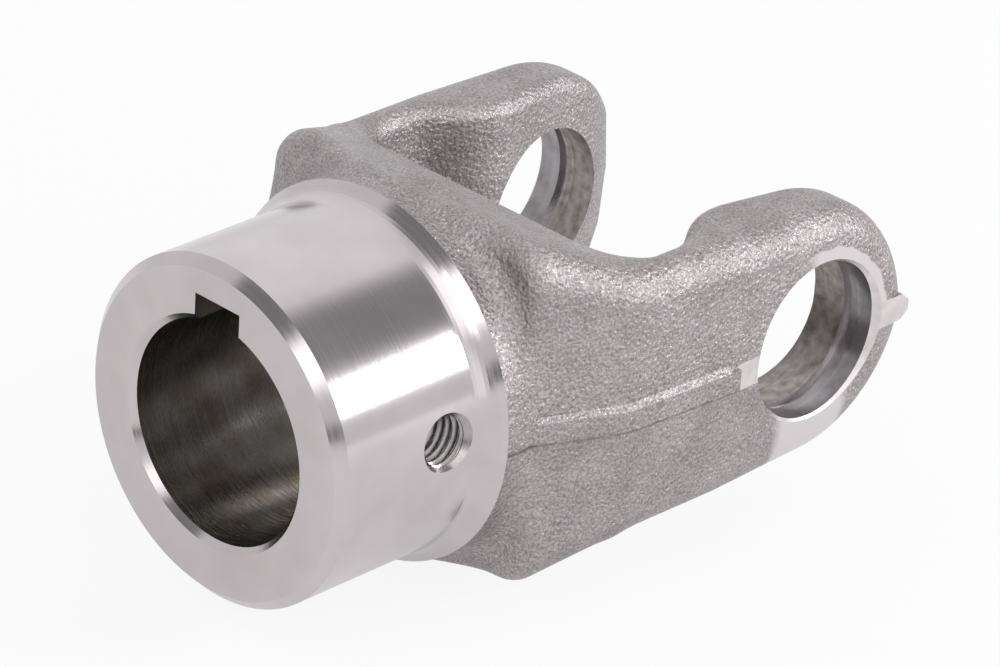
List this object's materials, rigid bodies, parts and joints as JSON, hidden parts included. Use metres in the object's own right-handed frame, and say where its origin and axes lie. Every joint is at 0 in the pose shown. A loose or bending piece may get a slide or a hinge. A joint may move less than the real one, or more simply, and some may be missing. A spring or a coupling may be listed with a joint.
{
  "type": "forged yoke",
  "caption": "Forged steel joint yoke: a turned hub with keyed bore and tapped side hole spreads into a fork whose ears have grooved bores for bearing caps.",
  "frame": {"origin": "where the axis of the shaft bore meets the common axis of the ear bores", "axes": "+X from the hub towards the ears' tips along the shaft axis, Y along the ear bores' axis with the set-screw hole on the -Y side, +Z towards the keyway and square to the parting plane"},
  "size_m": [0.0953, 0.064, 0.0518],
  "materials": {
    "forged_steel": "shot-blasted forged skin in mid grey, bright turned hub, bored ears"
  },
  "bodies": {
    "root": {"forged_yoke": "forged_steel"}
  },
  "joints": []
}
